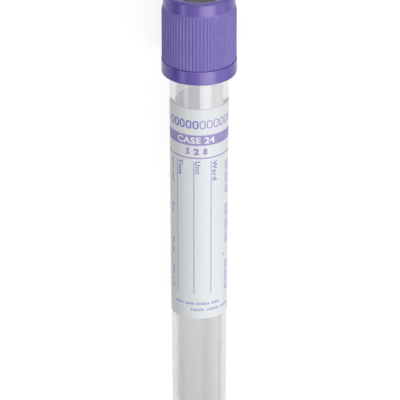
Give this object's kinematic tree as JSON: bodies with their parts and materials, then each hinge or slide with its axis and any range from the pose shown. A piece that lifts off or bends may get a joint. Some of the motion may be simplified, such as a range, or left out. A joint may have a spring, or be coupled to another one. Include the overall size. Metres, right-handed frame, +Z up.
{
  "type": "blood collection tube",
  "caption": "Clear round-bottomed sample tube lying on its side, with a wrap-around label and a pull-off closure: a ribbed violet shield over a rubber stopper.",
  "frame": {"origin": "the middle of the bounding box's underside, on the surface that the tube lies on", "axes": "+Y along the tube towards its closure, +X across it, +Z up through the front of the label; the tube's own axis rises by about 1.6 degrees towards the closure, whose lower band is wider than the round end"},
  "size_m": [0.0166, 0.1072, 0.0169],
  "materials": {
    "clear_plastic": "clear, polished",
    "stopper_rubber": "matt",
    "violet_plastic": "moulded, satin gloss",
    "label_paper": "coated, printed in violet"
  },
  "bodies": {
    "tube_body": {"tube": "clear_plastic", "label": "label_paper"},
    "closure": {"stopper": "stopper_rubber", "shield": "violet_plastic"}
  },
  "joints": [
    {"name": "closure_pull", "type": "slide", "parent": "tube_body", "child": "closure", "axis": [0, 0.9996, 0.028], "range_m": [0, 0.03]}
  ]
}
